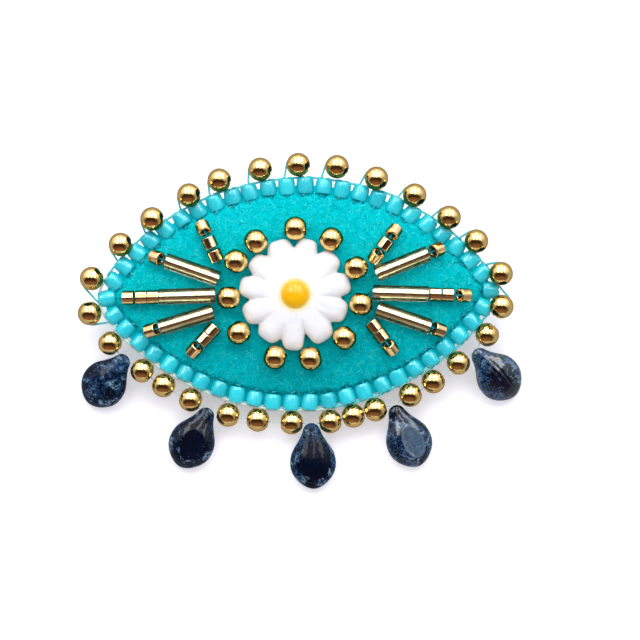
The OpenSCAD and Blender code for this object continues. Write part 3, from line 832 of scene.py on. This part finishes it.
def round_beads():
    bead, tone = round_bead()
    for i in range(len(LASH)):
        own = lash_placing(i) @ turned(rng.normal(0, 5), "Z") @ turned(rng.normal(0, 5), "X")
        piece(f"lash_ball_{i + 1:02}", bead, GOLD, [f"lash_bead_{i + 1:02}"], tone, FACE @ own)
    for i, (direction, more) in enumerate(IRIS):
        place = FACE @ FLOWER_PLACE @ turned(90 - direction, "Z")
        place @= Matrix.Translation((IRIS_R + more, 0, ROUND_D / 2))
        piece(f"iris_ball_{i + 1:02}", bead, GOLD, [f"iris_bead_{i + 1:02}"], tone, place)
    fringe = [moved(bead, rim_place(place, out, FELT_MIDDLE)) for place, out in FRINGE]
    piece("fringe_balls", joined(fringe), GOLD, ["fringe_beads"], np.tile(tone, len(FRINGE)))


def bead_end(place, side, reach, lift=0.0):
    """Point on a bead's hole line, this far from its middle, in the face frame."""
    return np.array(place @ Vector((0, -side * reach, lift)))[:3]


def lash_threads():
    """The thread that holds each lash bead: up beside the ball and into its hole."""
    strands = []
    for i, (place, _) in enumerate(LASH):
        spot = lash_placing(i)
        foot = rim_point(place - 0.72, SEED_END + 0.02, 0.3)
        leg = [
            rim_point(place - 0.6, SEED_END - 0.4), foot,
            (foot + bead_end(spot, -1, 1.45)) / 2, bead_end(spot, -1, 1.32), bead_end(spot, -1, 0.6),
        ]
        strands.append(tube(smooth_path(leg), LASH_THREAD_R))
    piece("lash_threads", joined(strands), THREAD)


# Rays

TUBE_SIDES = 72
TUBE_FLATS = 7
TUBE_CORNER = 0.06


def tube_section(d, length, bore):
    """Wall of a tube bead with rounded ends, and the tone of each of its rings."""
    r, half, corner = d / 2, length / 2, TUBE_CORNER
    bend = [(corner * math.sin(a), corner * math.cos(a)) for a in np.radians((0, 30, 60, 90))]
    outer = [(r - corner + s, half - corner + c) for s, c in bend]
    inner = [(bore + corner - c, half - corner + s) for s, c in bend]
    upper = [(bore, half - 0.2)] + inner + outer + [(r, half - corner - 0.04)]
    tone = [1.0, 0.8, 0.3] + [0.0] * (len(upper) - 3)
    return upper + [(x, -y) for x, y in reversed(upper)], tone + tone[::-1]


def tube_bead(d, length, bore, facet_depth):
    """A tube bead along X, with faint flats along its outside."""
    section, tone = tube_section(d, length, bore)
    points, faces = lathe(section, TUBE_SIDES)
    turn = np.arctan2(points[:, 1], points[:, 0])
    reach = np.hypot(points[:, 0], points[:, 1])
    flats = 1 - facet_depth * (1 + np.cos(TUBE_FLATS * turn + 0.9)) / 2
    points[:, :2] *= np.where(reach > d / 2 - 0.1, flats, 1.0)[:, None]
    return moved((points, faces), turned(90, "Y")), np.repeat(tone, TUBE_SIDES)


def bead_tip(ray, i):
    """How far a ray's cylinder bead is tipped: only the first and the last are."""
    return ray.last_tip if i == ray.cylinders - 1 else -ray.first_tip if i == 0 else 0


def bead_reach(tip):
    """Half of the room that a cylinder bead that is tipped this far takes along its ray."""
    tip = math.radians(tip)
    return CYLINDER_LENGTH / 2 * math.cos(tip) + CYLINDER_D / 2 * abs(math.sin(tip))


def bead_along(ray, i):
    """Distance of a cylinder bead's middle from its ray's inner end."""
    own = bead_reach(bead_tip(ray, i))
    if i == 0:
        return own + ray.bugles * (BUGLE_LENGTH + ray.gap)
    return bead_along(ray, i - 1) + bead_reach(bead_tip(ray, i - 1)) + ray.gap + own


def tube_height(tip, d=CYLINDER_D, length=CYLINDER_LENGTH):
    """Height of a tube bead's middle that is tipped this far and touches the felt."""
    tip = math.radians(tip)
    return FELT_FRONT + d / 2 * math.cos(tip) + length / 2 * abs(math.sin(tip))


def on_ray(ray, along, height):
    turn = math.radians(ray.heading)
    point = (ray.x + along * math.cos(turn), ray.y + along * math.sin(turn), height)
    return placing(point, ray.heading)


def rays():
    bugle, bugle_tone = tube_bead(BUGLE_D, BUGLE_LENGTH, TUBE_BORE_D / 2 + 0.08, 0.0)
    lined = np.where(bugle_tone > 0, 1.0, 0.0)
    cylinder, cylinder_tone = tube_bead(CYLINDER_D, CYLINDER_LENGTH, TUBE_BORE_D / 2 - 0.02, 0.035)
    for i, ray in enumerate([r for r in RAYS if r.bugles]):
        place = on_ray(ray, BUGLE_LENGTH / 2, tube_height(0, BUGLE_D, BUGLE_LENGTH))
        piece(
            f"bugle_tube_{i + 1}", bugle, BUGLE_GLASS, [f"bugle_{i + 1}"],
            lined, FACE @ place, BUGLE_LINING)
    for side, group in (("left", RAYS[:5]), ("right", RAYS[5:])):
        beads = []
        for ray in group:
            for i in range(ray.cylinders):
                tip = bead_tip(ray, i)
                place = on_ray(ray, bead_along(ray, i), tube_height(tip))
                beads.append(moved(cylinder, place @ turned(tip, "Y")))
        piece(
            f"cylinder_tubes_{side}", joined(beads), CYLINDER_GOLD,
            [f"cylinder_beads_{side}"], np.tile(cylinder_tone, len(beads)))


def ray_threads():
    """A thread through each ray, out of the felt at one end and back into it at the other."""
    strands = []
    half = CYLINDER_LENGTH / 2
    flat = tube_height(0)
    for ray in RAYS:
        last = ray.cylinders - 1
        first = ray.first_tip if last > 0 else 0
        end = bead_along(ray, last)
        end_height = tube_height(ray.last_tip)
        tip = math.radians(ray.last_tip)
        level, steep = math.cos(tip), math.sin(tip)
        start = bead_along(ray, 0) if first else 0.4
        route = [
            (start - 1.0, FELT_THICKNESS - 0.3),
            (start - 0.75 if first else -0.3, FELT_FRONT + 0.3),
            (start, flat - 0.05),
            (start + 1.4, flat + (0.15 if first else 0)),
            (end - bead_reach(ray.last_tip) - ray.gap, flat + 0.38 * steep),
            (end - half * level, end_height + half * steep - 0.12),
            (end + 0.7 * level, end_height - 0.7 * steep),
            (end + 1.0, FELT_THICKNESS - 0.3),
        ]
        path = smooth_path([on_ray(ray, *spot).translation for spot in route])
        strands.append(tube(path, RAY_THREAD_R))
    shape = joined(strands)
    piece("ray_strands", shape, THREAD, ["ray_threads"], np.full(len(shape[0]), 0.9))


# Flower

EDGE_HEIGHT = 0.7
UNDER_EDGE_HEIGHT = 0.3
UNDERSIDE_SHARE = 0.86
UNDER_EDGE_SHARE = 0.97
SHOULDER_SHARE = 0.8
VALLEY_FROM = 0.5
VALLEY_SHARPNESS = 1.5
PETAL_STEPS = 26
PETAL_RINGS = 34
DOME_WALL = 0.45
# The yolk's colour fades into the petals up to here
HALO_R = 2.5
# 2 for evenly rounded petals, and more for broader tips
PETAL_SQUARENESS = 2.4


def petal_top(radius, edge, u):
    """Height of the flower's top this far out towards an edge and at a place across a petal."""
    share = radius / edge
    ridge = FLOWER_THICKNESS - PETAL_FALL * (radius / FLOWER_R) ** 2
    fade = min(1, max(0, (share - VALLEY_FROM) / (1 - VALLEY_FROM)))
    valley = (0.5 - 0.5 * math.cos(math.pi * u)) ** VALLEY_SHARPNESS
    valley *= 0.6 * VALLEY_DEPTH * fade**2 * (3 - 2 * fade)
    past = max(0, share - SHOULDER_SHARE) / (1 - SHOULDER_SHARE)
    return EDGE_HEIGHT + (ridge - valley - EDGE_HEIGHT) * math.sqrt(1 - past**2)


def petal_edges():
    """Directions round the flower, each with its place across a petal and the outline's radius."""
    edges = []
    for i, (tip, turn, depth) in enumerate(PETALS):
        _, start, depth_before = PETALS[i - 1]
        start -= 360 if i == 0 else 0
        for k in range(PETAL_STEPS):
            u = -math.cos(math.pi * k / PETAL_STEPS)
            direction = math.radians(start + (turn - start) * (u + 1) / 2)
            notch = NOTCH_R + (depth_before if u < 0 else depth)
            lobe = 0.5 + 0.5 * math.cos(math.pi * abs(u) ** PETAL_SQUARENESS)
            edges.append((direction, u, notch + (FLOWER_R + tip - notch) * lobe))
    return edges


def flower():
    socket = DOME_D / 2 - 0.04
    floor = FLOWER_THICKNESS - SOCKET_DEPTH
    sections = []
    for direction, u, edge in petal_edges():
        inner = socket / edge
        shares = inner + (1 - inner) * np.sin(np.linspace(math.pi / 2, 0, PETAL_RINGS))
        section = [
            (0.05, 0), (edge * 0.5, 0), (edge * UNDERSIDE_SHARE, 0), (edge * 0.93, 0.08),
            (edge * UNDER_EDGE_SHARE, UNDER_EDGE_HEIGHT),
        ]
        section += [(edge * s, petal_top(edge * s, edge, u)) for s in shares]
        section += [(socket - 0.03, section[-1][1] - 0.1), (socket - 0.03, floor), (0.05, floor)]
        sections.append([(r * math.sin(direction), r * math.cos(direction), z) for r, z in section])
    points = np.array(sections).transpose(1, 0, 2)
    radius = np.hypot(points[..., 0], points[..., 1])
    halo = np.clip((HALO_R - radius) / (HALO_R - socket), 0, 1) * (points[..., 2] > 1)
    shape = points.reshape(-1, 3), capped_grid(*points.shape[:2])
    piece("daisy", shape, SHELL, ["flower"], halo.reshape(-1), FACE @ FLOWER_PLACE)


def dome():
    cap = DOME_HEIGHT - DOME_WALL
    cap_r = ((DOME_D / 2) ** 2 + cap**2) / (2 * cap)
    reach = math.asin(DOME_D / 2 / cap_r)
    section = [(0.01, 0), (DOME_D / 2, 0), (DOME_D / 2, DOME_WALL * 0.7)]
    slopes = np.linspace(reach, 0.01, 30)
    section += [(cap_r * math.sin(a), DOME_HEIGHT - cap_r + cap_r * math.cos(a)) for a in slopes]
    shape = lathe(section, 72)
    tone = np.hypot(shape[0][:, 0], shape[0][:, 1]) / (DOME_D / 2)
    lift = Matrix.Translation((0, 0, FLOWER_THICKNESS - SOCKET_DEPTH + SEAT))
    piece("yolk_dome", shape, YOLK, ["flower_centre"], tone, FACE @ FLOWER_PLACE @ lift)


# Drops

BULB_AT = DROP_LENGTH * 0.617
BULB_HALF_LENGTH = DROP_LENGTH - BULB_AT
HOLE_TO_BULB = BULB_AT - DROP_HOLE_AT


def drop_placing(drop):
    """Placing of a drop's hole in the world, dipped until its bulb touches the surface."""
    turn = math.radians(drop.heading)
    hole = rim(drop.place, drop.out)[0] + DROP_HOLE_AT * np.array([math.sin(turn), -math.cos(turn)])
    spot = FACE @ Vector((*hole, FELT_MIDDLE))
    dip = math.radians(10)
    for _ in range(8):
        half_height = math.hypot(BULB_HALF_LENGTH * math.sin(dip), DROP_THICKNESS / 2 * math.cos(dip))
        dip = math.asin((spot.z - half_height) / HOLE_TO_BULB)
    return placing(spot, drop.heading) @ turned(math.degrees(dip), "X")


DROP_RINGS = 96
DROP_SIDES = 112
# How far the dish in a drop's front reaches up and down from the bulb's middle
DISH_UP = 2.0
DISH_DOWN = 1.65


def drop_shape(dish, ripple, coat_and_sheen):
    """A flattened pear with its hole at the origin, and each vertex's tone. The dish in its
    front is its depth, width and shift to the side. The ripple is the height of its lengthwise
    waves. The coat and sheen are the coat's share over all, and how much more of it there is at
    the neck, on the dish, along the outline and on the dish's lip; the shares on the dish and
    lip are painted light, a painted reflection on the dish and a painted highlight on the lip."""
    along = 0.5 - 0.5 * np.cos(np.linspace(0, math.pi, DROP_RINGS))
    outline = np.array(DROP_OUTLINE, float)
    turn = np.linspace(0, 2 * np.pi, DROP_SIDES, endpoint=False)
    width = np.sqrt(np.interp(along, outline[:, 0], outline[:, 1] ** 2))
    width = np.convolve(np.pad(width, 1, mode="edge"), (0.25, 0.5, 0.25), mode="valid")
    width[[0, -1]] = 0.01
    x = np.outer(width, np.cos(turn)) * DROP_WIDTH / 2
    y = np.repeat(DROP_HOLE_AT - along[:, None] * DROP_LENGTH, len(turn), axis=1)
    z = np.outer(width, np.sin(turn)) * DROP_THICKNESS / 2
    depth, dish_width, shift = dish
    across = (x - shift) / (DROP_WIDTH / 2 * dish_width)
    down = (y + HOLE_TO_BULB) / np.where(y > -HOLE_TO_BULB, DISH_UP, DISH_DOWN)
    q = np.hypot(across, down)
    share = np.clip((1.08 - q) / 0.16, 0, 1)
    share = share**2 * (3 - 2 * share)
    level = DROP_THICKNESS / 2 - depth + 0.08 * q**2
    waves = ripple * np.cos((x - shift) / 0.09 + 0.8 * np.sin(y))
    waves *= np.exp(-(((x - shift) / 0.7) ** 2) - (q / 1.2) ** 4)
    z = np.where(z > 0, z + min(1, depth / 0.1) * np.minimum(0, level - z) * share + waves, z)
    over_all, neck, dish_painted_light, outer, lip = coat_and_sheen
    # The dish's share is painted reflection, paler on the fourth drop and darker on the others, and the
    # ring on the lip is a painted highlight.
    tone = over_all + neck * np.clip(1 - along[:, None] / 0.4, 0, 1) + dish_painted_light * share
    tone = tone + outer * np.abs(np.cos(turn)) ** 4 + lip * np.exp(-(((q - 1.02) / 0.07) ** 2))
    points = np.stack([x, y, z], axis=-1).reshape(-1, 3)
    return (points, capped_grid(DROP_RINGS, DROP_SIDES)), tone.reshape(-1)


# Each drop's gloss, dish, ripple, and its coat with the painted reflection on the dish and painted
# highlight on the lip
DROP_LOOKS = [
    (0.15, (0.0, 0.6, 0.0), 0.0, (0.04, 0.1, 0.0, 0.0, 0.0)),
    (0.3, (0.4, 0.46, 0.2), 0.0, (-0.06, 0.08, -0.12, 0.16, 0.1)),
    (0.12, (0.0, 0.6, 0.3), 0.0, (-0.01, 0.14, -0.25, 0.16, 0.0)),
    (0.5, (0.42, 0.42, 0.35), 0.0, (0.03, 0.0, 0.27, 0.12, 0.32)),
    (0.8, (0.0, 0.55, 0.1), 0.036, (0.05, 0.12, -0.1, 0.18, 0.0)),
]


def drops():
    for i, (drop, (gloss, *look)) in enumerate(zip(DROPS, DROP_LOOKS)):
        shape, tone = drop_shape(*look)
        finish = drop_finish(f"drop_glass_{i + 1}", gloss)
        place = drop_placing(drop)
        piece(f"glass_drop_{i + 1}", shape, finish, [f"drop_{i + 1}"], tone, place)


def fringe_strand():
    """The thread through the fringe beads and the drops' holes, and its ties to the seed beads."""
    route, ties = [], []
    to_face = FACE.inverted()
    for i, (place, out) in enumerate(FRINGE):
        spot = rim_place(place, out, FELT_MIDDLE)
        route += [bead_end(spot, 1, reach) for reach in (-1.3, -0.6, 0.6, 1.3)]
        for side in (-1, 1):
            tie = [
                rim_point(place + 0.3 * side, SEED_END - 0.5, -0.4),
                rim_point(place + 0.3 * side, SEED_END, -0.5),
                bead_end(spot, side, 0.9, -1.0), bead_end(spot, side, 1.29), bead_end(spot, side, 0.8),
            ]
            ties.append(tube(smooth_path(tie), TIE_R))
        for drop in [d for d in DROPS if d.after == i]:
            hole = to_face @ drop_placing(drop)
            route += [np.array(hole @ Vector((x, 0, 0))) for x in (-1.0, -0.3, 0.3, 1.0)]
    shape = joined([tube(smooth_path(route), FRINGE_THREAD_R), *ties])
    piece("fringe_strand", shape, CLEAR_THREAD, ["fringe_thread"])


# Surroundings

# Metres, with the lift in degrees and the power in watts
FLOOR_HALF = 3.0
PANE_SIZE = (0.36, 0.5)
PANE_DISTANCE = 0.6
PANE_SIDE = 0.2
PANE_LIFT = 60
PANE_POWER = 1.35


def floor():
    mesh = bpy.data.meshes.new("floor")
    corners = [(FLOOR_HALF * x, FLOOR_HALF * y, 0) for x, y in ((-1, -1), (1, -1), (1, 1), (-1, 1))]
    mesh.from_pydata(corners, [], [(0, 1, 2, 3)])
    mesh.materials.append(floor_finish())
    obj = linked("floor", mesh)


def window():
    """Two tall panes above the upper edge, with the bar between them."""
    lift = math.radians(PANE_LIFT)
    for side in (-1, 1):
        light = bpy.data.lights.new(f"pane_{side}", "AREA")
        light.shape = "RECTANGLE"
        light.size, light.size_y = PANE_SIZE
        light.energy = PANE_POWER
        light.color = (1.0, 0.98, 0.95)
        pane = linked(f"pane_{side}", light)
        pane.location = (side * PANE_SIDE, PANE_DISTANCE * math.cos(lift), PANE_DISTANCE * math.sin(lift))
        pane.rotation_euler = (-pane.location).to_track_quat("-Z", "Y").to_euler()
        pane.visible_camera = False
        pane.visible_glossy = False


class Room(Graph):
    """The room as polished beads show it. Places are given where a round bead seen from the
    front shows them: X and Y from -1 to 1 across the bead."""

    def __init__(self):
        world = bpy.data.worlds.new("room")
        bpy.context.scene.world = world
        world.use_nodes = True
        super().__init__(world.node_tree)
        self.nodes.clear()
        seen = self.node(
            "Mapping", Vector=self.node("TexCoord").outputs["Generated"],
            Rotation=tuple(-a for a in FACE.to_euler())).outputs["Vector"]
        axes = self.node("SeparateXYZ", Vector=seen).outputs
        self.z = axes["Z"]
        reach = self.math("SQRT", self.math("MAXIMUM", self.math("MULTIPLY_ADD", self.z, 2.0, 2.0), 0.01))
        clutter = self.node("TexNoise", Vector=seen, Scale=4.0, Detail=4.0).outputs["Color"]
        shift = self.node("SeparateXYZ", Vector=clutter).outputs
        self.x, self.y = (
            self.math("ADD", self.math("DIVIDE", axes[axis], reach),
                      self.math("MULTIPLY", self.math("SUBTRACT", shift[axis], 0.5), 0.34))
            for axis in ("X", "Y"))

    def soft(self, value, low, high, to_low=0.0, to_high=1.0):
        node = self.node(
            "MapRange", Value=value, From_Min=low, From_Max=high, To_Min=to_low, To_Max=to_high)
        node.interpolation_type = "SMOOTHSTEP"
        return node.outputs["Result"]

    def patch(self, centre, half, edge, power=3.0):
        """1 inside a rounded patch and 0 outside it, softened over the edge."""
        shares = [
            self.math("POWER", self.math(
                "ABSOLUTE", self.math("DIVIDE", self.math("SUBTRACT", value, c), h)), power)
            for value, c, h in zip((self.x, self.y), centre, half)]
        return self.soft(self.math("ADD", *shares), 1 - edge, 1 + edge, 1.0, 0.0)

    def background(self, colour, strength=1.0):
        return self.node("Background", Color=colour, Strength=strength).outputs[0]


def surroundings():
    """Bright ceiling and window beyond the upper edge, and a dim shape over the lower edge."""
    room = Room()
    walls = room.mix(room.soft(room.y, -0.8, 0.4), (0.24, 0.2, 0.16, 1.0), (0.66, 0.6, 0.52, 1.0))
    glow = room.mix(room.patch((0.0, 0.34), (0.62, 0.38), 0.8, 2.0), walls, (1.35, 1.28, 1.22, 1.0))
    panes = [room.patch(centre, half, 0.5) for centre, half in (
        ((-0.24, 0.36), (0.07, 0.26)), ((0.03, 0.38), (0.05, 0.24)), ((0.28, 0.34), (0.06, 0.22)))]
    panes = room.math("ADD", room.math("ADD", *panes[:2]), panes[2])
    light = room.mix(panes, glow, (7.0, 6.8, 6.6, 1.0))
    lower = room.mix(room.patch((-0.05, -0.68), (0.5, 0.16), 0.7, 2.0), light, (0.85, 0.78, 0.66, 1.0))
    edged = room.mix(room.patch((-0.08, -0.22), (0.58, 0.34), 0.6, 2.4), lower, (0.035, 0.02, 0.014, 1.0))
    brown = room.mix(room.soft(room.y, -0.46, -0.08), (0.3, 0.14, 0.09, 1.0), (0.03, 0.015, 0.012, 1.0))
    dim = room.mix(room.patch((-0.1, -0.27), (0.45, 0.28), 0.8, 2.2), edged, brown)
    seen = room.background(dim)
    soft = room.background((0.93, 0.92, 1.0, 1.0), room.math(
        "MULTIPLY", room.soft(room.z, 0.0, 0.55, 0.12, 1.0), room.soft(room.y, -0.6, 0.4, 0.55, 1.0)))
    backdrop = room.background((0.97, 0.97, 0.98, 1.0))
    lit = room.choose("Is Glossy Ray", soft, seen)
    room.node("OutputWorld", Surface=room.choose("Is Camera Ray", lit, backdrop))
    bpy.context.scene.view_settings.view_transform = "Standard"


# The view of the photograph: square to the felt, a little turned, with the eye's centre here
PHOTO_SIZE = 640
PIXELS_PER_MM = 9.3
EYE_PIXEL = (298.14, 294.07)
ROLL = 1.28
CAMERA_DISTANCE = 450


def camera():
    data = bpy.data.cameras.new("camera")
    obj = linked("camera", data)
    bpy.context.scene.camera = obj
    data.sensor_width = 36
    data.lens = data.sensor_width * CAMERA_DISTANCE / (PHOTO_SIZE / PIXELS_PER_MM)
    data.clip_start, data.clip_end = 0.01, 10
    across = (PHOTO_SIZE / 2 - EYE_PIXEL[0]) / PIXELS_PER_MM
    down = (PHOTO_SIZE / 2 - EYE_PIXEL[1]) / PIXELS_PER_MM
    place = FACE @ turned(-ROLL, "Z") @ Matrix.Translation((across, -down, FELT_MIDDLE + CAMERA_DISTANCE))
    place.translation *= MM
    obj.matrix_world = place


felt()
felt_fibres("felt_nap", 30000, (0.3, 0.9), (0.015, 0.035), (0.01, 0.09))
felt_fibres("felt_stray", 450, (0.5, 1.2), (0.025, 0.04), (0.06, 0.22))
edge_beads()
edging_threads()
round_beads()
lash_threads()
rays()
ray_threads()
flower()
dome()
drops()
fringe_strand()
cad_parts["pin_back"].data.materials.clear()
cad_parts["pin_back"].data.materials.append(STEEL)
floor()
window()
surroundings()
camera()
